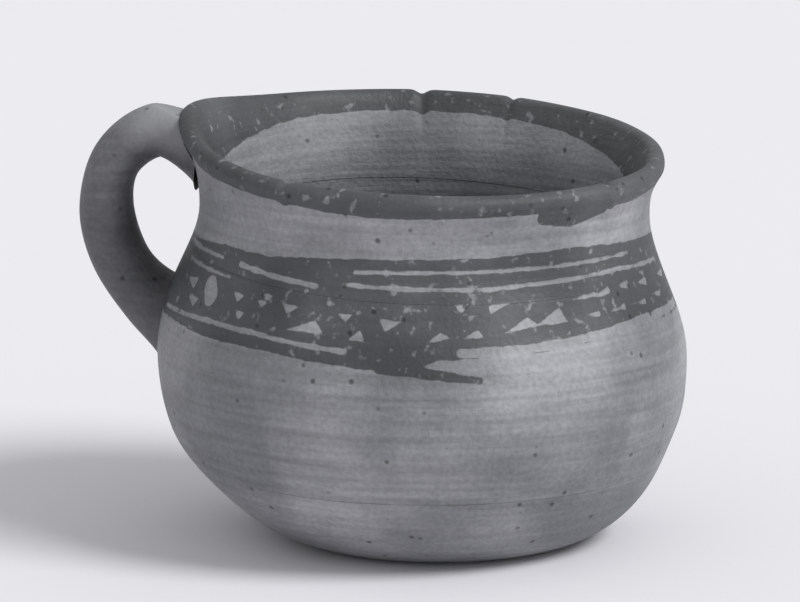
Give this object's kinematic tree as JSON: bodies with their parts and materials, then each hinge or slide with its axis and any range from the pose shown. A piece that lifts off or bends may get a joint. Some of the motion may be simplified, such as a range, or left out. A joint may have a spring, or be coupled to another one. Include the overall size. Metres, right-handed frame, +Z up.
{
  "type": "cup",
  "caption": "Hand-built, painted pottery cup with a round belly, a narrowed neck, an out-turned lip and one loop handle that rises over the lip.",
  "frame": {"origin": "on the pot's axis, on the face that it stands on", "axes": "+Z up through the mouth, -X towards the handle, -Y towards the side that the picture shows"},
  "size_m": [0.1382, 0.12, 0.1009],
  "materials": {
    "painted_clay": "grey slipped and burnished earthenware with a worn, dark painted band",
    "dark_clay": "dark slipped and burnished earthenware, worn pale on the crown",
    "luting_clay": "smoothed luting clay, fired with the pot"
  },
  "bodies": {
    "root": {"foot_bowl": "painted_clay", "belly_wall": "painted_clay", "neck_and_lip": "painted_clay", "handle": "dark_clay", "upper_luting": "luting_clay", "lower_luting": "luting_clay"}
  },
  "joints": []
}
